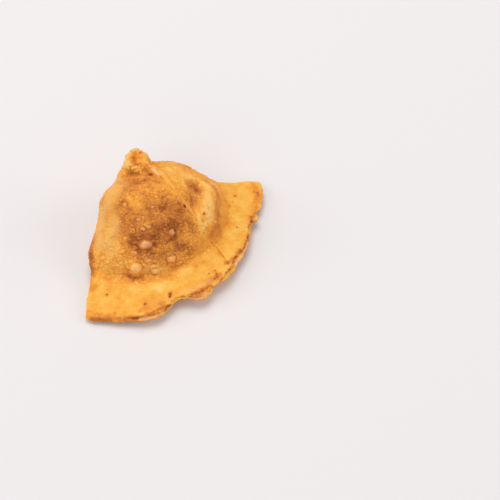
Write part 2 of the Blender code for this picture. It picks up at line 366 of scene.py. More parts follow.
points += outward * (moved * rim * (0.4 + 0.6 * rolled))[:, None]
(broadSize, broad), (fineSize, fine) = mouth["wavy"]
points[:, 2] += rim * (broad * drift(points, broadSize, 4.0) + fine * drift(points, fineSize, 7.0))
points += normals * (grains * np.clip(broken, 0.0, 1.0)
                     + lipHeight * edgeLip * (1.0 + drift(ring, 2.5, 12.0)))[:, None]
crackMask = np.clip(crack, 0.0, 1.0) * rim * ease(0.25, 0.6, 1.0 - np.abs(normals[:, 2]))
print("mouth torn")

# the lapped seam, from the tip to the mouth; it is pressed shut in places and open in others
seam = {
    "runs": ((149, 165), (158, 174), (170, 186), (178, 196), (184, 205), (193, 217), (203, 232),
             (210, 240), (216, 247), (222, 255), (228, 263), (230, 268)),
    "shut": 0.16,            # how much of the groove still shows where it is pressed shut
    "open": {
        "byTheTip": (((150, 166), (160, 176)), 4.0, 0.45),
        "atTheSpot": (((184.2, 206), (184.8, 207)), 1.6, 0.8),
        "belowIt": (((187, 209), (196, 219)), 3.4, 0.35),
        "onTheFlat": (((214, 245), (221, 253), (229, 263)), 3.6, 0.48),
    },
    "lip": (1.4, 0.55),      # where it is, and its height
    "groove": (0.45, 0.60),  # half width, depth
}
writeShape(crust, points)
fromSeam, hand = nearLine(points * inPlan, alongPhoto(seam["runs"]) * inPlan)
signedSeam = hand * fromSeam + 0.30 * drift(points, 1.8, 2.0) + 0.5 * drift(points, 5.0, 3.0)
opened = np.full(len(points), seam["shut"])
for spots, reach, strength in seam["open"].values():
    opened = np.maximum(opened, strength * stroke(spots, reach) ** 0.5)
points, normals = readShape(crust)
seamOn = ease(0.05, 0.35, normals[:, 2]) * (1.0 - ease(8.0, 9.0, fromSeam)) * ease(7.0, 12.0, out) * opened
lipPlace, lipHeight = seam["lip"]
grooveWidth, grooveDepth = seam["groove"]
groove = hill(signedSeam, grooveWidth) * seamOn
lip = hill(signedSeam - lipPlace, lipPlace * 0.6) * seamOn
points += normals * (lipHeight * lip - grooveDepth * groove)[:, None]
print("seam lapped")

# big blisters, by the pixel that shows each one: half width and half height in mm, how far it stands out
blisters = {
    "palest": ((145.2, 244.6), 4.4, 2.7, 1.15),
    "leftFoot": ((136, 268.8), 3.5, 3.1, 1.45),
    "rightDome": ((171.8, 232.5), 1.8, 2.2, 0.8),
    "collapsed": ((180.8, 244.5), 1.7, 1.5, 0.40),
    "upperLeft": ((135.3, 253.2), 1.5, 1.3, 0.5),
    "middle": ((148.7, 260.8), 1.7, 1.3, 0.7),
    "pinkDome": ((172, 259), 2.7, 2.2, 0.9),
    "middleRight": ((162, 259.8), 1.4, 1.2, 0.4),
    "foot": ((155, 271.8), 2.5, 1.7, 0.95),
    "footMiddle": ((153.4, 266.3), 1.9, 1.3, 0.75),
    "footLeft": ((144.8, 265), 1.6, 1.1, 0.6),
    "footRight": ((160.5, 269.5), 1.5, 1.1, 0.6),
    "footFarRight": ((179, 263.2), 2.6, 1.4, 0.6),
    "besideFoot": ((121, 276), 1.3, 1.1, 0.5),
    "upperRow": ((143, 229), 1.9, 1.2, 0.4),
    "upperRowRight": ((148.3, 226.8), 1.7, 1.1, 0.35),
    "upperDot": ((138.7, 219.6), 1.5, 1.2, 0.35),
    "upperDotSmall": ((143, 217.2), 0.9, 0.8, 0.3),
    "flank": ((101, 235), 2.0, 2.4, 0.3),
    "farLeft": ((112, 266), 2.4, 1.8, 0.35),
    "lowLeft": ((103, 258), 1.9, 1.5, 0.3),
    "upperPale": ((152.5, 207), 1.1, 0.9, 0.4),
    "upperPink": ((125, 204.5), 1.6, 1.3, 0.35),
    "upperPinkLeft": ((121, 200), 1.1, 1.0, 0.3),
    "onTheFlat": ((194.3, 265.7), 1.5, 1.2, 0.25),
    "onTheFlatRight": ((202.5, 262.5), 1.1, 0.9, 0.2),
}
hollowTops = ("collapsed", "middleRight", "onTheFlat")
lopsided = {"seen": 0.08, "hidden": 0.14, "small": 0.16}   # how far from round the blisters of each kind are
blisterShape = {
    "reach": 1.5,                        # of its half width
    "top": (2.2, 0.8),                   # how flat the top is, and how steep the side
    "hollow": (0.95, 0.62, 0.30, 0.15),  # a sunk top's ring: height, place, half width, and height inside it
    "crease": (0.2, 1.12, 0.17),         # around the foot: depth, place, half width
}


def raiseBlister(centre, normal, wide, tall, height, kind, hollow=False):
    found = pointTree.find_range(centre, max(wide, tall) * blisterShape["reach"])
    near = np.array([index for spot, index, gap in found], int)
    across = (Vector((1.0, 0.0, 0.0)) - normal * normal.x).normalized()
    up = normal.cross(across)
    rest = points[near] - np.array(centre)
    x = rest @ np.array(across) / wide
    y = rest @ np.array(up) / tall
    around = np.arctan2(y, x)
    bend = lopsided[kind] * (np.sin(2.0 * around + centre[0]) + np.sin(3.0 * around + centre[1]))
    away = np.hypot(x, y) * (1.0 + 0.5 * bend)
    flatness, steepness = blisterShape["top"]
    rise = np.clip(1.0 - away ** flatness, 0.0, 1.0) ** steepness
    if hollow:
        ringHeight, ringPlace, ringHalf, innerHeight = blisterShape["hollow"]
        rise = ringHeight * hill(away - ringPlace, ringHalf) + innerHeight * rise
    depth, creasePlace, creaseHalf = blisterShape["crease"]
    foot = hill(away - creasePlace, creaseHalf)
    facing = np.clip(normals[near] @ np.array(normal), 0.0, 1.0)
    points[near] += np.array(normal) * ((height * rise - depth * height * foot) * facing)[:, None]
    return near, rise * facing, foot * facing


pointTree = KDTree(len(points))
for index, spot in enumerate(points):
    pointTree.insert(spot, index)
pointTree.balance()
tops = np.zeros(len(points))    # the blisters' tops, the creases at their feet, and how pale their skin is
feet = np.zeros(len(points))
skin = np.zeros(len(points))
bigTops = {}
writeShape(crust, points)
for name, (spot, wide, tall, height) in blisters.items():
    place, normal = seenAt(*spot)
    near, rise, foot = raiseBlister(Vector(place), Vector(normal), wide, tall, height, "seen",
                                    name in hollowTops)
    tops[near] = np.maximum(tops[near], rise)
    feet[near] = np.maximum(feet[near], foot)
    bigTops[name] = np.zeros(len(points))
    bigTops[name][near] = rise
print("big blisters raised")

# small blisters all over: close together on the lower front, few on the flat part
rash = {
    "seed": 41,
    "count": 4200,
    "radius": (0.60, 1.8),
    "roundness": (0.75, 1.1),
    "steepness": (0.09, 0.30),   # height as a share of the radius
    "hollowShare": 0.05,
    "onFlat": 0.03,              # how many lie there, beside the filled part
    "crowd": (0.45, 0.8, 0.5),   # everywhere, in patches, and where the larger ones gather
    "crowdLimits": (0.08, 1.3),
    "thinned": 0.8,              # where the crust has few
    "elsewhere": 0.35,           # radius away from the larger ones, as a share
    "clear": 0.4,                # no small one starts higher on another's side
    "larger": {                  # where the larger ones gather: pixels, reach
        "lowerFront": (((112, 262), (135, 255), (160, 262), (184, 250)), 13.0),
        "middle": (((135, 238), (160, 240)), 10.0),
    },
    "smooth": {                  # and where the crust has few
        "besidePalest": (((128, 237), (134, 241), (134, 245)), 3.4),
        "rightOfPalest": (((154.5, 241), (155, 247)), 3.4),
        "palestItself": (((141, 244), (150, 244)), 4.5),
        "topRight": (((160, 168), (178, 172), (194, 181)), 11.0),
        "rightPanel": (((206, 188), (205, 210), (199, 226)), 7.0),
        "leftFlank": (((108, 200), (100, 230)), 5.0),
    },
}
hiddenBlisters = {   # more big blisters where the photograph shows nothing
    "count": 30,
    "radius": (1.6, 3.6),
    "roundness": (0.7, 1.0),
    "steepness": (0.22, 0.36),
    "skin": (0.2, 0.9),
}
draw = np.random.default_rng(rash["seed"])
larger = np.zeros(len(points))
for spots, reach in rash["larger"].values():
    larger = np.maximum(larger, stroke(spots, reach))
patchy = drift(points, 8.0, 21.0)
larger = np.maximum(larger, hidden * ease(0.05, 0.45, patchy))
smooth = np.zeros(len(points))
for spots, reach in rash["smooth"].values():
    smooth = np.maximum(smooth, stroke(spots, reach))
everywhere, inPatches, withLarger = rash["crowd"]
crowd = np.clip(everywhere + inPatches * patchy + withLarger * larger, *rash["crowdLimits"])
crowd = (1.0 - flat) * crowd * (1.0 - rash["thinned"] * smooth)
crowd += rash["onFlat"] * flat
crowd *= 1.0 - np.clip(rim * 2.0, 0.0, 0.95)
crowd *= ease(3.0, 12.0, fromTip)
bare = (1.0 - flat) * hidden * (1.0 - rim)
for index in draw.choice(len(points), hiddenBlisters["count"], replace=False, p=bare / bare.sum()):
    radius = draw.uniform(*hiddenBlisters["radius"])
    tall = radius * draw.uniform(*hiddenBlisters["roundness"])
    height = radius * draw.uniform(*hiddenBlisters["steepness"])
    near, rise, foot = raiseBlister(Vector(points[index]), Vector(normals[index]), radius, tall, height,
                                    "hidden")
    tops[near] = np.maximum(tops[near], rise)
    feet[near] = np.maximum(feet[near], foot)
    skin[near] = np.maximum(skin[near], rise ** 2 * draw.uniform(*hiddenBlisters["skin"]))
smallest, largest = rash["radius"]
elsewhere = rash["elsewhere"]
for index in draw.choice(len(points), rash["count"], replace=False, p=crowd / crowd.sum()):
    luck = draw.random()
    if tops[index] > rash["clear"]:
        continue
    radius = smallest + (largest - smallest) * luck ** 2 * (elsewhere + (1.0 - elsewhere) * larger[index])
    steepness = draw.uniform(*rash["steepness"])
    tall = radius * draw.uniform(*rash["roundness"])
    near, rise, foot = raiseBlister(Vector(points[index]), Vector(normals[index]), radius, tall,
                                    radius * steepness, "small", draw.random() < rash["hollowShare"])
    tops[near] = np.maximum(tops[near], rise * min(1.0, radius))
    feet[near] = np.maximum(feet[near], foot * min(1.0, radius) * 0.8)
    skin[near] = np.maximum(skin[near], rise * draw.random() ** 4 * 0.7)
print("small blisters raised")

# the pinched tip: a crumbly ring with a notch and an orange hollow
nub = {
    "middle": (0.5, 0.6),    # of its ring, beside the tip's place in plan
    "height": (39.5, 43.0),  # where the ring begins and is full
    "ring": (5.0, 1.8),      # radius, half width
    "light": (((127, 160), (131, 167), (136, 168.5)), 3.0, -0.10),   # where the ring is golden
    "crumb": ((2.0, 0.95), (1.15, 0.6)),   # grains: size, height
    "crumbly": {"lip": 1.4, "peak": 1.2, "hollow": 0.5},   # where the grains are: on these strokes,
    "crumblyRing": (0.25, 0.8),                            # on the ring, and more on its hidden side,
    "smoothFacet": 0.8,                                    # and how few on the facet
    "lip": (((126, 155), (125, 160), (127.5, 165), (131.5, 168.5), (136, 169), (139.5, 166)), 2.2, 0.8),
    "peak": (((127.5, 153), (130, 150), (134, 149), (137.5, 150)), 2.0, 0.4),
    "hollow": (((134.5, 160.5), (136, 163), (139, 164)), 2.6, -0.30),
    "facet": (((140, 157), (144.5, 157.5)), 2.6, 0.2),
    "notch": ((140.5, 152), 1.9, 2.0),    # pixel, reach, depth
}
writeShape(crust, points)
points, normals = readShape(crust)
(tipX, tipY), (besideX, besideY) = crustLook["tip"], nub["middle"]
fromNub = np.hypot(points[:, 0] - tipX - besideX, points[:, 1] - tipY - besideY)
high = ease(*nub["height"], points[:, 2])
ringRadius, ringWidth = nub["ring"]
onRing = hill(fromNub - ringRadius, ringWidth) * high
nubStrokes = {name: stroke(nub[name][0], nub[name][1]) for name in ("lip", "peak", "hollow", "facet")}
onAll, onHidden = nub["crumblyRing"]
where = onAll * onRing
for name, strength in nub["crumbly"].items():
    where += strength * nubStrokes[name]
where = np.clip(where + onHidden * onRing * hidden, 0.0, 1.0)
where *= 1.0 - nub["smoothFacet"] * nubStrokes["facet"]
grains = sum(height * crumbly(points, size, where, 31.0 + size) for size, height in nub["crumb"])
uneven = {"lip": 1.0 + 1.1 * drift(points, 3.2, 35.0)}
push = grains * where + sum(nub[name][2] * nubStrokes[name] * uneven.get(name, 1.0) for name in nubStrokes)
points += normals * push[:, None]
notchSpot, notchReach, notchDepth = nub["notch"]
notched = 1.0 - ease(0.4 * notchReach, notchReach, np.linalg.norm(points - seenAt(*notchSpot)[0], axis=1))
points[:, 2] -= notchDepth * notched
print("tip crumbled")

points[:, 2] = np.maximum(points[:, 2], 0.0)   # what it stands on is flat
writeShape(crust, points)
points, normals = readShape(crust)

# how brown and how pale the crust is, with painted shade and painted light among the brown strokes: strokes
# over the photograph's pixels, with reach in mm and strength
browningAndPaintedLight = {
    "darkestBand": (((152, 212), (163, 218), (174, 223)), 15.0, 0.22),
    "darkUpperRight": (((166, 205), (175, 211), (180, 220)), 7.5, 0.25),
    "darkLeft": (((126, 216), (126, 230)), 8.5, 0.27),
    "darkMiddleLeft": (((136, 218), (140, 234)), 7.0, 0.13),
    "darkLower": (((146, 234), (156, 232), (168, 232)), 8.5, 0.22),
    "darkLowerRight": (((180, 245), (191, 248)), 6.0, 0.25),
    "leftShoulder": (((114, 184), (119, 200), (117, 212)), 8.5, 0.12),
    "aboveTheMiddle": (((134, 186), (148, 186), (162, 190)), 8.0, 0.07),
    "middle": (((130, 230), (150, 238), (172, 248)), 14.0, 0.12),
    "lowerFront": (((136, 252), (150, 256), (158, 256)), 8.0, 0.17),
    "lowerFrontLight": (((134, 270), (150, 270.5), (162, 269)), 6.5, -0.19),
    "leftFold": (((90, 241), (90, 250), (91, 262)), 6.5, 0.44),
    "leftFoldLow": (((90, 268), (91, 286)), 4.5, 0.28),
    "leftFlank": (((113, 184), (106, 200), (103, 216), (101, 230)), 7.0, 0.17),
    "leftOfPalest": (((132, 244.3), (136, 244.6)), 1.2, 0.16),
    "abovePalest": (((130.5, 237.3), (135.5, 237.3)), 1.1, 0.12),
    "shadePalest": (((141, 237), (151, 237.5)), 2.4, 0.16),
    "rightOfPalest": (((154, 244), (155.5, 246)), 2.0, 0.50),
    "darkLine": (((152.5, 236.3), (159, 234)), 1.2, 0.32),
    "besideRightDome": (((175.5, 231), (175, 235)), 1.5, 0.22),
    # painted shadow under the left-foot blister
    "underLeftFoot": (((128, 275), (133.5, 278), (139.5, 276.5)), 3.2, 0.30),
    "leftFootTop": (((136, 267),), 3.4, -0.14),
    "aboveLeftCorner": (((104, 244), (108, 228)), 6.0, -0.06),
    "footDomes": (((152, 268), (157, 271)), 3.2, -0.08),
    "belowTheFoot": (((146, 282), (158, 280), (168, 276)), 4.0, 0.07),
    "underPalest": (((138, 250.5), (152, 251)), 3.0, 0.18),
    "aroundPinkDome": (((166, 263), (171, 265), (176, 262)), 1.8, 0.12),
    "furrow": (((193, 186), (193, 194), (193, 202)), 7.0, 0.27),
    "furrowTop": (((193, 184), (201, 189)), 5.5, 0.19),
    "aboveSeamSpot": (((176, 192), (182, 202)), 5.0, 0.12),
    "seamFoot": (((184, 211), (190, 222), (195, 230)), 5.5, 0.23),
    "steepSide": (((217, 192), (218.5, 206), (218, 218)), 5.5, 0.15),
    "steepSideMiddle": (((218, 213), (218.5, 223)), 5.0, 0.21),
    "steepSideLow": (((215, 228), (213.5, 231), (212, 234)), 5.2, 0.30),
    "orangeRight": (((222, 232), (224, 222)), 4.0, 0.08),
    # painted shadow under and beside the pinched tip's lip
    "underTip": (((128, 172), (133, 175.5), (138, 175)), 3.2, 0.20),
    "belowTip": (((127, 178), (136, 180), (144, 178)), 5.0, 0.17),
    "besideTip": (((142, 165), (150, 172), (157, 181)), 5.4, 0.27),
    "upperFront": (((134, 184), (146, 192), (160, 200)), 10.0, 0.15),
    "flatLeft": (((102, 284), (120, 288)), 9.0, 0.07),
    "flatMiddle": (((156, 298), (172, 296)), 7.0, 0.07),
    # painted highlight on the front of the flat part
    "flatLight": (((134, 290), (150, 289), (166, 286)), 8.0, -0.09),
    "flatRight": (((226, 200), (229, 222)), 7.0, 0.08),
    "flatRightLight": (((240, 206), (239, 226), (233, 240)), 6.5, -0.06),
    "alongSeamOnFlat": (((214, 248), (220, 257), (227, 264)), 2.4, 0.08),
    "farCorner": (((250, 189), (255, 194)), 6.0, 0.08),
    "farCornerEdge": (((254, 185), (257, 188), (259, 191)), 3.4, 0.22),
    "besideTooth": (((252, 217), (251, 221)), 1.8, 0.36),
    "leftCorner": (((88, 313), (91, 319)), 4.5, 0.20),
    "alongTheMouth": (((176, 300), (200, 288), (220, 275)), 3.4, 0.06),
    # painted shadow line between the upper and the lower layer at the mouth
    "mouthSpot": (((227, 263), (233, 259), (240, 250)), 2.6, 0.42),
    "rightEdge": (((258, 198), (251, 230), (243, 250)), 4.2, 0.27),
    # painted shade in the rim's recess and in the crack along the front edge
    "recess": (((192, 296.5), (200, 295), (208, 290)), 4.2, 0.27),
    "frontCrack": (((133, 318.5), (147.6, 314.5), (161, 309), (170, 305)), 1.4, 0.42),
    # painted light on the lower left of the filled part
    "lowLeftLight": (((94, 262), (106, 266), (118, 259)), 11.0, -0.12),
    "flatSpotLeft": (((194.3, 265.7),), 1.9, 0.14),
    "flatSpotRight": (((202.5, 262.5),), 1.6, 0.14),
    "farSpot": (((235, 196),), 2.3, 0.20),
    "middleSpot": (((229, 206),), 1.9, 0.20),
    "rolledEdge": (((94, 319.5), (112, 319), (134, 317.5)), 4.0, 0.44),
    "frontEdgeBrown": (((140, 311), (150, 308), (162, 304)), 3.8, 0.23),
    "edgeByTheRight": (((193, 295), (207, 287.5), (213, 280), (220, 276)), 3.4, 0.29),
    "redCluster": (((213, 270), (216, 276)), 2.6, 0.06),
    # painted light on the ridge right of the seam
    "ridgeLight": (((205, 186), (208, 204), (207, 219)), 6.5, -0.25),
    "backRightLight": (((206, 178), (213, 183), (219, 189)), 4.5, -0.12),
    # painted light on the panel below that ridge
    "panelLight": (((198, 212), (199, 219), (202, 231)), 5.5, -0.22),
    "furrowLow": (((186, 195), (191, 200)), 5.0, 0.08),
    "furrowFootLight": (((199, 205), (200, 208)), 2.8, -0.14),
    # painted light on the top right of the body
    "topRightLight": (((177, 169), (184, 173), (193, 181)), 8.0, -0.15),
    "orangeFoot": (((194, 242), (206, 243)), 7.0, 0.02),
}
# where the dark part is even: pixels, reach, how brown it is there, and how much of that is taken on
evenDark = (((140, 242), (150, 240), (160, 236), (167, 231)), 10.5, 0.86, 0.5)
streaks = {   # fine stripes down the furrow and the ridge beside it
    "from": (199, 190),
    "to": (205, 222),
    "where": (((194, 184), (202, 204), (204, 226)), 12.0),
    "width": 1.5,
    "stretch": 0.85,
    "strength": 0.22,
}
palingAndHighlights = {   # thin pale skin, rather pink than yellow, and painted highlights on lit ridges and lumps
    # partly pale skin, partly painted highlight along the ridge right of the seam
    "ridge": (((204, 192), (207, 208), (204, 222)), 6.5, 0.24),
    "furrow": (((192, 186), (194, 204)), 6.0, 0.24),
    "lowerFront": (((148, 257), (162, 258), (178, 254)), 8.0, 0.26),
    "lowerLeft": (((120, 264), (136, 268), (150, 268)), 7.0, 0.26),
    "seamEdge": (((187, 205), (196, 216)), 2.0, 0.40),
    # painted highlight along the ridge from the tip
    "tipRidge": (((147, 163), (153, 169), (159, 175)), 1.9, 0.85),
    "tipEdge": (((147.5, 155.5), (152, 161)), 1.5, 0.70),
    # painted highlight on the lump left of the tip
    "shoulderLump": (((120, 170), (119, 182)), 3.2, 0.40),
    "frontEdge": (((150, 306), (168, 297), (190, 288), (203, 284)), 3.6, 0.25),
    "rightTooth": (((259, 205), (257.5, 218)), 1.8, 0.70),
    "lowerLayerRight": (((236, 264), (242, 255), (248, 243)), 2.0, 0.80),
    "lowerLayerFront": (((186, 300), (198, 299), (207, 294)), 2.2, 0.85),
    "lowerLayerLeft": (((140, 319.5), (153, 317), (162, 313)), 2.2, 0.70),
}
strawSkinAndSheen = {   # and thin skin that is rather yellow, with a painted sheen on the left flank
    # partly yellow skin, partly painted sheen on the left flank
    "leftFlank": (((115, 183), (108, 198), (102, 214), (100, 230), (99, 244)), 9.0, 0.77),
    "leftFlankLow": (((114, 222), (111, 234), (109, 248)), 9.5, 0.62),
    "rightOfRidge": (((210, 202), (213, 212), (211, 222)), 4.5, 0.45),
    "frontEdge": (((184, 292), (192, 290), (200, 286), (208, 282)), 3.2, 0.50),
    "tipPeak": (((130, 152), (134, 151.5)), 2.2, 0.55),
}
brownOf = {   # how brown the crust is without the strokes, and what each thing adds
    "filled": 0.40,
    "flat": -0.11,
    "underside": 0.10,
    "hidden": 0.08,
    "hiddenPatches": 0.22,
    "top": (-0.05, 33.0, 44.0),     # strength, and the heights between which it sets in
    # crease and dip: painted shade, darker in creases and broad hollows
    "crease": (0.65, -0.06, 0.14),  # strength, and the depths between which it grows
    "dip": (0.16, -0.3, 0.5),
    "lumps": ((9.0, 0.09), (4.2, 0.12)),   # size, strength
    "feet": (0.08, 0.05),           # of all blisters, and more where the larger ones gather
    "skin": -0.20,
    "groove": 0.30,
    # painted shade in the crack between the torn layers
    "crack": 0.16,
    "tipHollow": 0.27,
    "tipRing": -0.15,
    "tornEdge": 0.16,
    # painted shade on the rim's downward faces
    "rimBelow": 0.22,
    "flaky": 0.30,
    "most": 0.88,
}
paleOf = {   # how pale the thin skins and the broken dough are
    "skin": 0.6,
    "seamLip": 0.34,
    "tornEdge": 0.70,
    "edgeLip": 0.30,
    "tip": 0.12,
}
nearRounds, farRounds = 8, 60   # of evening, for how deep each point lies between near and farther neighbours
crease = ((evened(crust, points, nearRounds) - points) * normals).sum(axis=1)
dip = ((evened(crust, points, farRounds) - points) * normals).sum(axis=1)
brown = brownOf["filled"] + brownOf["flat"] * flat + brownOf["underside"] * underside * (1.0 - flat)
hiddenPatches = hidden * ease(0.0, 0.5, drift(points, 15.0, 57.0))
brown += (brownOf["hidden"] * hidden + brownOf["hiddenPatches"] * hiddenPatches) * (1.0 - flat)
strength, low, high = brownOf["top"]
brown += strength * ease(low, high, points[:, 2])
# painted shade in creases and broad hollows
strength, low, high = brownOf["crease"]
brown += strength * np.clip(crease, low, high) * (1.0 + 0.5 * rim)
strength, low, high = brownOf["dip"]
brown += strength * np.clip(dip, low, high)
pale = np.zeros(len(points))
for spots, reach, strength in browningAndPaintedLight.values():
    brown += strength * stroke(spots, reach)
for spots, reach, strength in palingAndHighlights.values():
    pale = np.maximum(pale, strength * stroke(spots, reach))
straw = np.zeros(len(points))
for spots, reach, strength in strawSkinAndSheen.values():
    straw = np.maximum(straw, strength * stroke(spots, reach))
calm = 1.0 - 0.4 * flat   # the flat part is more even
(broadSize, broad), (fineSize, fine) = brownOf["lumps"]
brown += broad * drift(points, broadSize, 51.0) + fine * drift(points, fineSize, 53.0) * calm
ofAll, ofLarger = brownOf["feet"]
brown += (ofAll + ofLarger * larger) * feet * calm + brownOf["skin"] * skin
pale = np.maximum(pale, paleOf["skin"] * skin * (1.0 - 0.7 * flat))
paleTops = {"palest": 0.74, "leftFoot": 0.62, "pinkDome": 0.62, "rightDome": 0.60, "upperPale": 0.6,
            "upperPink": 0.6, "upperPinkLeft": 0.5, "upperRow": 0.7, "upperRowRight": 0.5, "upperDot": 0.55,
            "upperDotSmall": 0.6, "foot": 0.85, "footMiddle": 0.75, "middle": 0.6, "upperLeft": 0.5,
            "footFarRight": 0.45, "footLeft": 0.5, "footRight": 0.45}
for name, strength in paleTops.items():
    pale = np.maximum(pale, strength * ease(0.0, 0.85, bigTops[name]))
# the seam's groove is browner; the crack between the torn layers is darker with painted shade
brown += brownOf["groove"] * groove + brownOf["crack"] * crackMask
pale = np.maximum(pale, paleOf["seamLip"] * lip * (0.6 + 1.0 * drift(points, 3.0, 61.0)))
tornEdge = rim * ease(0.35, 0.8, 1.0 - np.abs(normals[:, 2])) * (1.0 - 0.7 * crackMask)
pale = np.maximum(pale, paleOf["tornEdge"] * tornEdge * rolled * (0.7 + 0.9 * drift(points, 1.8, 63.0)))
pale = np.maximum(pale, paleOf["edgeLip"] * edgeLip * (0.5 + 1.4 * drift(points, 2.2, 64.0)))
ringTop = np.clip(nubStrokes["lip"] + nubStrokes["peak"], 0.0, 1.0)
spots, reach, strength = nub["light"]
brown += brownOf["tipHollow"] * nubStrokes["hollow"] + brownOf["tipRing"] * ringTop
brown += strength * stroke(spots, reach)
pale = np.maximum(pale, paleOf["tip"] * np.maximum(ringTop, nubStrokes["facet"]))
# the torn edge is browner, and the rim's downward faces darker with painted shade
brown += brownOf["tornEdge"] * tornEdge + brownOf["rimBelow"] * rim * ease(0.0, 0.5, -normals[:, 2])
brown += brownOf["flaky"] * drift(points, 1.3, 93.0) * stroke(*mouth["flaky"][:2])
along = seenAt(*streaks["to"])[0] - seenAt(*streaks["from"])[0]
along /= np.linalg.norm(along)
stretched = points - streaks["stretch"] * (points @ along)[:, None] * along
brown += streaks["strength"] * drift(stretched, streaks["width"], 91.0) * stroke(*streaks["where"])
spots, reach, evenBrown, share = evenDark
brown += share * stroke(spots, reach) * (evenBrown - brown)
brown = np.minimum(brown, brownOf["most"])
rememberOn(crust, "brown", brown)
rememberOn(crust, "pale", np.clip(pale, 0.0, 1.0))
rememberOn(crust, "straw", straw)
rememberOn(crust, "flatPart", flat)
rememberOn(crust, "torn", np.clip(tornEdge + ringTop, 0.0, 1.0))

specks = {   # small scorched spots: pixel, half width in mm, how strong the browning around each is
    "atSeam": ((184.5, 206.5), 0.80, 0.95),
    "onRidge": ((204, 214), 0.80, 0.9),
    "belowTip": ((150.4, 174.5), 1.00, 1.0),
    "leftFlank": ((102, 231), 0.40, 0.6),
    "leftCorner": ((107, 294.5), 0.62, 0.80),
    "frontLarge": ((170.2, 294.0), 1.05, 0.95),
    "frontLargeEnd": ((169.8, 296.6), 0.90, 0.95),
    "front": ((145, 304), 0.85, 0.8),
    "rightUpper": ((235, 196), 1.00, 0.34),
    "rightMiddle": ((229.5, 206.5), 0.70, 0.34),
    "rightLower": ((237, 227.5), 0.75, 0.7),
    "rightLowerPair": ((234.5, 225), 0.25, 0.3),
    "nearMouthA": ((216.5, 274), 0.62, 0.58),
    "nearMouthB": ((214.8, 279), 0.60, 0.55),
    "nearMouthC": ((209, 273.5), 0.55, 0.75),
    "nearMouthD": ((215, 270.5), 0.45, 0.6),
    "nearMouthE": ((212.5, 272), 0.30, 0.4),
    "nearMouthF": ((217.5, 277), 0.35, 0.5),
    "cornerA": ((254, 192), 0.60, 0.6),
    "cornerB": ((257.5, 192.5), 0.60, 0.6),
    "underLeftFoot": ((134.5, 277), 0.40, 0.3),
    "onTop": ((190.8, 186), 0.40, 0.4),
}
paintedFrom = 0.5   # mm, the half width from which a speck is painted; a smaller one is a chip of its own
halo = 0.7          # mm, how far the browning around a speck goes beyond it
scorchedAndShadow = {        # dark creases beside the pale blisters, and a painted shadow under the left-foot blister: pixels, reach, strength
    "above": (((152, 236.0), (155.5, 234.8), (158.6, 233.2)), 0.75, 0.46),
    "leftUpper": (((131, 236.8), (136, 236.8)), 0.75, 0.42),
    "left": (((131.5, 244.2), (136.5, 245)), 0.9, 0.50),
    "right": (((153.2, 243.8), (154.8, 246.6)), 1.5, 0.58),
    # painted shadow under the left-foot blister
    "underLeftFoot": (((129, 275.5), (134, 277.5), (139, 276.5)), 1.4, 0.30),
}
speck = np.zeros(len(points))
burnt = np.zeros(len(points))
speckPlaces = {name: seenAt(*spot) for name, (spot, radius, strength) in specks.items()}
for name, (spot, radius, strength) in specks.items():
    away = np.linalg.norm(points - speckPlaces[name][0], axis=1)
    speck = np.maximum(speck, strength * (1.0 - ease(0.2, 1.0, away / (radius + halo))))
    if radius >= paintedFrom:
        burnt = np.maximum(burnt, strength * (1.0 - ease(0.55, 1.2, away / radius)))
for spots, reach, strength in scorchedAndShadow.values():
    burnt = np.maximum(burnt, strength * stroke(spots, reach))
rememberOn(crust, "speck", speck)
rememberOn(crust, "burnt", burnt)
share = crustLook["mostTriangles"] / (2.0 * len(crust.data.polygons))
finishWith(crust, "DECIMATE", ratio=min(share, 1.0))
print("browning painted,", len(crust.data.polygons), "triangles")


# materials

def tone(red, green, blue):  # a colour as a paint mixer reads it, 0 to 255
    values = [c / 255.0 for c in (red, green, blue)]
    return [c / 12.92 if c <= 0.04045 else ((c + 0.055) / 1.055) ** 2.4 for c in values] + [1.0]


class Wire:  # an output of a node, which can be used in sums
    def __init__(self, tree, socket=None):
        self.tree = tree
        self.socket = socket

    def node(self, kind, settings=None, inputs=None, output=0):
        made = self.tree.nodes.new("ShaderNode" + kind)
        for name, value in (settings or {}).items():
            if name == "stops":
                while len(made.color_ramp.elements) < len(value):
                    made.color_ramp.elements.new(1.0)
                for stop, (place, colour) in zip(made.color_ramp.elements, value):
                    stop.position = place
                    stop.color = colour
            else:
                setattr(made, name, value)
        for name, value in (inputs or {}).items():
            if isinstance(value, Wire):
                self.tree.links.new(value.socket, made.inputs[name])
            else:
                made.inputs[name].default_value = value
        return Wire(self.tree, made.outputs[output] if made.outputs else None)

    def maths(self, operation, first, second):
        return self.node("Math", {"operation": operation}, {0: first, 1: second})

    def __add__(self, other):
        return self.maths("ADD", self, other)

    def __sub__(self, other):
        return self.maths("SUBTRACT", self, other)

    def __rsub__(self, other):
        return self.maths("SUBTRACT", other, self)

    def __mul__(self, other):
        return self.maths("MULTIPLY", self, other)

    __radd__ = __add__
    __rmul__ = __mul__

    def between(self, low, high):  # 0 below the low value, 1 above the high one
        return self.node("MapRange", {"interpolation_type": "SMOOTHSTEP"},
                         {"Value": self, "From Min": low, "From Max": high})

    def blend(self, first, second):  # from one colour to another by this value
        return self.node("Mix", {"data_type": "RGBA"}, {0: self, 6: first, 7: second}, 2)


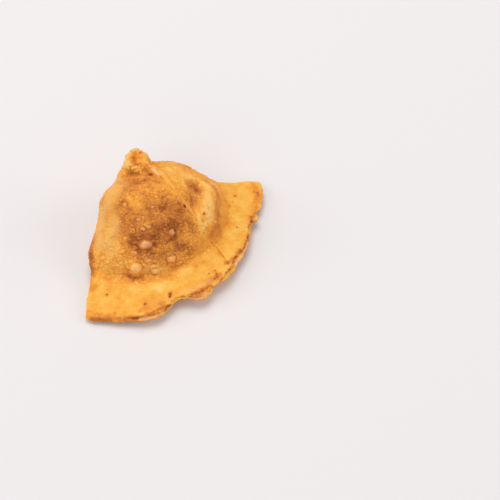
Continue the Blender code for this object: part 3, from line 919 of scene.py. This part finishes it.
friedLook = {
    "ramp": ((0.0, tone(253, 212, 130)), (0.20, tone(251, 193, 90)), (0.38, tone(246, 171, 64)),
             (0.54, tone(230, 145, 58)), (0.70, tone(204, 120, 52)), (0.86, tone(170, 92, 40)),
             (1.0, tone(132, 62, 24))),
    # the filled part's ramp is a little redder: painted warmth of its shaded sides
    "filledRamp": ((0.0, tone(255, 211, 134)), (0.20, tone(255, 193, 98)), (0.38, tone(249, 170, 68)),
                   (0.54, tone(232, 149, 61)), (0.70, tone(206, 126, 56)), (0.86, tone(171, 98, 42)),
                   (1.0, tone(136, 67, 26))),
    "cream": tone(255, 190, 136),
    "straw": tone(246, 192, 110),
    "creamBy": (0.80, 1.0, 0.6),   # how much of it shows, and how far the mottle and the grain sway that
    "strawBy": (0.90, 0.9, 0.8),
    "scorch": tone(150, 54, 14),
    "patterns": {   # size in mm, detail, roughness, shift
        "cloud": (5.5, 3.0, 0.5, 0.0),
        "mottle": (1.9, 3.0, 0.6, 11.0),
        "grain": (0.55, 2.0, 0.6, 23.0),
        "freckled": (8.0, 1.0, 0.5, 40.0),
    },
    "bubble": 1.25,          # mm, size of the finest bubbles
    "brownBy": {             # how far each sways the brown: on the flat part, and what the filled part adds
        "cloud": (0.40, -0.14),
        "mottle": (0.25, 0.13),
        "grain": (0.13, 0.09),
    },
    "brownBySpeck": 0.30,
    "brownByBubble": 0.06,
    "freckle": (3.1, 0.045, 0.10, 0.45),   # distance apart in mm, inner and outer edge as shares, strength
    "roughness": 0.44,
    "roughBy": {"mottle": 0.25, "filled": 0.06, "torn": 0.22},
    "raisedBy": {            # height in mm: on the flat part, and what the filled part adds
        "mottle": (0.06, 0.17),
        "grain": (0.035, 0.06),
    },
    "raisedByTorn": 0.12,
    "raisedByBubble": 0.12,
    "specular": 0.12,
    "oil": 0.8,              # on the skins of the blisters
    "oilRoughness": 0.2,
    "subsurface": 0.08,
    "subsurfaceReach": 0.5,  # mm
}


def friedDough():
    material = bpy.data.materials.new("friedCrust")
    material.use_nodes = True
    tree = material.node_tree
    tree.nodes.clear()
    wire = Wire(tree)
    spot = wire.node("TexCoord", output=3)
    place = wire.node("VectorMath", {"operation": "SCALE"}, {"Vector": spot, "Scale": 1.0 / mm})

    def lumps(name):
        size, detail, roughness, shift = friedLook["patterns"][name]
        moved = wire.node("VectorMath", {"operation": "ADD"}, {0: place, 1: (shift, shift * 0.7, 0.0)})
        return wire.node("TexNoise", {}, {"Vector": moved, "Scale": 1.0 / size, "Detail": detail,
                                          "Roughness": roughness})

    def painted(name):
        return wire.node("Attribute", {"attribute_name": name}, output=2)

    def uneven(name, share, byMottle, byGrain):
        return painted(name) * (share + (mottle - 0.5) * byMottle + (grain - 0.5) * byGrain)

    def byPart(strengths):
        onFlat, more = strengths
        return onFlat + filled * more

    filled = 1.0 - painted("flatPart")
    cloud = lumps("cloud")
    mottle = lumps("mottle")
    grain = lumps("grain")
    bubble = wire.node("TexVoronoi", {"feature": "SMOOTH_F1"},
                       {"Vector": place, "Scale": 1.0 / friedLook["bubble"], "Smoothness": 0.25})
    bubble = (1.0 - bubble * bubble * 2.0) * filled   # high in the middle of each bubble
    brown = painted("brown") + (cloud - 0.5) * byPart(friedLook["brownBy"]["cloud"])
    brown = brown + painted("speck") * friedLook["brownBySpeck"]
    brown = brown + (mottle - 0.5) * byPart(friedLook["brownBy"]["mottle"])
    brown = brown + (grain - 0.5) * byPart(friedLook["brownBy"]["grain"])
    brown = brown - (bubble - 0.55) * friedLook["brownByBubble"] * filled
    colour = wire.node("ValToRGB", {"stops": friedLook["ramp"]}, {"Fac": brown})
    # painted warm shade: the filled part takes the redder ramp
    warmer = wire.node("ValToRGB", {"stops": friedLook["filledRamp"]}, {"Fac": brown})
    colour = filled.blend(colour, warmer)
    straw = uneven("straw", *friedLook["strawBy"])
    colour = straw.between(0.0, 1.0).blend(colour, friedLook["straw"])
    cream = uneven("pale", *friedLook["creamBy"])
    colour = cream.between(0.05, 1.0).blend(colour, friedLook["cream"])
    apart, inner, outer, strength = friedLook["freckle"]
    freckle = wire.node("TexVoronoi", {"feature": "F1"}, {"Vector": place, "Scale": 1.0 / apart})
    freckle = (1.0 - freckle.between(inner, outer)) * lumps("freckled").between(0.5, 0.62) * strength
    colour = freckle.blend(colour, friedLook["scorch"])
    # burnt spots, and the painted shadow under the left-foot blister, turn towards the scorch colour
    colour = painted("burnt").blend(colour, friedLook["scorch"])

    torn = painted("torn")
    roughBy = friedLook["roughBy"]
    rough = friedLook["roughness"] + (mottle - 0.5) * roughBy["mottle"]
    rough = rough + filled * roughBy["filled"] + torn * roughBy["torn"]
    shine = painted("pale").between(0.40, 0.75) * friedLook["oil"] * (1.0 - torn)
    grainHeight = byPart(friedLook["raisedBy"]["grain"]) + torn * friedLook["raisedByTorn"]
    height = mottle * byPart(friedLook["raisedBy"]["mottle"]) + grain * grainHeight
    height = height + bubble * friedLook["raisedByBubble"]
    bumped = wire.node("Bump", {}, {"Height": height, "Distance": mm, "Strength": 1.0})
    shader = wire.node("BsdfPrincipled", {}, {
        "Base Color": colour, "Roughness": rough, "Normal": bumped, "IOR": 1.45,
        "Specular IOR Level": friedLook["specular"], "Coat Weight": shine,
        "Coat Roughness": friedLook["oilRoughness"], "Subsurface Weight": friedLook["subsurface"],
        "Subsurface Radius": (1.0, 0.6, 0.35), "Subsurface Scale": friedLook["subsurfaceReach"] * mm})
    wire.node("OutputMaterial", {}, {"Surface": shader})
    return material


crust.data.materials.clear()
crust.data.materials.append(friedDough())
choose(crust)
bpy.ops.object.shade_smooth()
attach(crust, "root")
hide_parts("samosa")
print("crust finished,", len(crust.data.polygons), "faces")


# crumbs that cling to the torn mouth, and tiny scorched specks
crumbLook = {
    "seed": 7,
    "shapes": 5,                # broken shapes, which are turned and joined
    "jagged": (0.34, 0.10),     # how uneven a shape is, in lumps and from corner to corner
    "onMouth": 170,
    "size": (0.30, 0.75),       # half length in mm
    "width": (0.5, 0.9),        # as a share of the length
    "flatness": (0.30, 0.60),   # thickness as a share of the length
    "tilt": 0.25,
    "brown": (-0.14, 0.04),     # beside the crust it sits on
    "pale": (0.0, 0.35),
}
speckLook = {
    "onFlat": 30,               # tiny ones besides those seen in the photograph
    "onFilled": 30,
    "together": (((229, 203), (233, 214), (235, 226)), 6.0, 30),   # many close by: pixels, reach, count
    "size": (0.12, 0.26),       # half length in mm
    "width": (0.6, 1.0),        # as a share of the length
    "seenWidth": (0.6, 0.9),    # of those at a place of their own
    "thickness": 0.08,          # half of it
    "raised": 0.03,             # its middle, above the crust
    "brown": 0.62,
    "burnt": (0.5, 0.95),
}
draw = np.random.default_rng(crumbLook["seed"])
chips = []
lumpy, cornered = crumbLook["jagged"]
for kind in range(crumbLook["shapes"]):
    bpy.ops.object.select_all(action="DESELECT")
    bpy.ops.mesh.primitive_ico_sphere_add(subdivisions=1, radius=1.0, location=(0.0, 0.0, 0.0))
    chip = bpy.context.object
    corners = np.array([corner.co for corner in chip.data.vertices])
    corners *= (1.0 + lumpy * drift(corners, 0.9, 80.0 + kind)[:, None]
                + draw.uniform(-cornered, cornered, (len(corners), 1)))
    chips.append((corners, np.array([face.vertices for face in chip.data.polygons])))
    bpy.data.objects.remove(chip)


def scatter(name, placed, values):  # one mesh of many chips, each with its place, normal, sizes and values
    corners, faces, remembered = [], [], {key: [] for key in values}
    for number, (place, normal, size) in enumerate(placed):
        shape, shapeFaces = chips[draw.integers(len(chips))]
        spin = Quaternion((0.0, 0.0, 1.0), draw.uniform(0.0, 2.0 * math.pi))
        turn = Vector(normal).to_track_quat("Z", "Y") @ spin
        corners.append((shape * size) @ np.array(turn.to_matrix()).T + place)
        faces.append(shapeFaces + number * len(shape))
        for key in values:
            remembered[key].append(np.full(len(shape), values[key][number]))
    corners = np.concatenate(corners)
    corners[:, 2] = np.maximum(corners[:, 2], 0.0)
    mesh = bpy.data.meshes.new(name)
    mesh.from_pydata((corners * mm).tolist(), [], np.concatenate(faces).tolist())
    piece = bpy.data.objects.new(name, mesh)
    bpy.context.scene.collection.objects.link(piece)
    for key in values:
        rememberOn(piece, key, np.concatenate(remembered[key]))
    piece.data.materials.append(crust.data.materials[0])
    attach(piece, "root")
    print(name, "scattered,", len(piece.data.polygons), "faces")


placed, under = [], []
where = tornEdge * rolled
smallest, largest = crumbLook["size"]
for index in draw.choice(len(points), crumbLook["onMouth"], replace=False, p=where / where.sum()):
    length = smallest + (largest - smallest) * draw.random() ** 2
    shares = np.array((1.0, draw.uniform(*crumbLook["width"]), draw.uniform(*crumbLook["flatness"])))
    placed.append((points[index], normals[index] + draw.normal(0.0, crumbLook["tilt"], 3), length * shares))
    under.append(index)
scatter("crumbs", placed, {
    "brown": brown[under] + draw.uniform(*crumbLook["brown"], len(placed)),
    "pale": np.clip(pale[under] + draw.uniform(*crumbLook["pale"], len(placed)), 0.0, 1.0),
    "flatPart": flat[under], "torn": np.ones(len(placed))})

placed = []


def placeSpeck(place, normal, radius, width):
    size = np.array((radius, radius * draw.uniform(*width), speckLook["thickness"]))
    placed.append((place + normal * speckLook["raised"], normal, size))


for name, (spot, radius, strength) in specks.items():
    if radius < paintedFrom:
        placeSpeck(*speckPlaces[name], radius, speckLook["seenWidth"])
topSide = ease(0.2, 0.5, normals[:, 2]) * (1.0 - rim)
spots, reach, many = speckLook["together"]
together = 1.0 - ease(0.3, 1.0, nearLine(points, alongPhoto(spots))[0] / reach)
regions = ((topSide * flat, speckLook["onFlat"]),
           ((1.0 - flat) * (1.0 - rim), speckLook["onFilled"]),
           (together, many))
for where, count in regions:
    for index in draw.choice(len(points), count, replace=False, p=where / where.sum()):
        placeSpeck(points[index], normals[index], draw.uniform(*speckLook["size"]), speckLook["width"])
scatter("specks", placed, {"brown": np.full(len(placed), speckLook["brown"]),
                           "burnt": draw.uniform(*speckLook["burnt"], len(placed))})


# plain floor and soft light

studio = {
    "floorSize": 16.0,
    "floorColour": tone(236, 234, 236),
    "floorRoughness": 0.8,
    "sky": (tone(250, 250, 252), 0.40),
    "lamps": {   # place, size, power, colour
        "overhead": ((-0.15, 0.90, 2.40), 1.8, 33.0, tone(255, 252, 248)),
        "left": ((-2.20, 0.10, 1.20), 1.3, 13.0, tone(255, 250, 245)),
        "right": ((2.20, 0.10, 1.30), 1.3, 12.0, tone(255, 250, 245)),
        "front": ((-0.90, -1.90, 1.50), 1.6, 11.0, tone(255, 250, 245)),
    },
    "aim": (0.0, 0.0, 0.02),
}
bpy.ops.object.select_all(action="DESELECT")
bpy.ops.mesh.primitive_plane_add(size=studio["floorSize"], location=(0.0, 0.0, 0.0))
floor = bpy.context.object
floor.name = "floor"
floorPaint = bpy.data.materials.new("paleFloor")
floorPaint.use_nodes = True
floorShader = floorPaint.node_tree.nodes["Principled BSDF"]
floorShader.inputs["Base Color"].default_value = studio["floorColour"]
floorShader.inputs["Roughness"].default_value = studio["floorRoughness"]
floor.data.materials.append(floorPaint)
floor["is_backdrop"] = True

world = bpy.data.worlds.new("studio")
bpy.context.scene.world = world
world.use_nodes = True
sky = world.node_tree.nodes["Background"]
sky.inputs["Color"].default_value, sky.inputs["Strength"].default_value = studio["sky"]
for name, (place, size, power, colour) in studio["lamps"].items():
    bpy.ops.object.light_add(type="AREA", location=place)
    lamp = bpy.context.object
    lamp.name = name
    lamp.data.size = size
    lamp.data.energy = power
    lamp.data.color = colour[:3]
    lamp.rotation_euler = (Vector(studio["aim"]) - Vector(place)).to_track_quat("-Z", "Y").to_euler()
bpy.context.scene.view_settings.view_transform = "Standard"
print("studio set")

sizes = {"cad": [list(corner) for corner in solidBox], "visual": [list(corner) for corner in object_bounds()]}
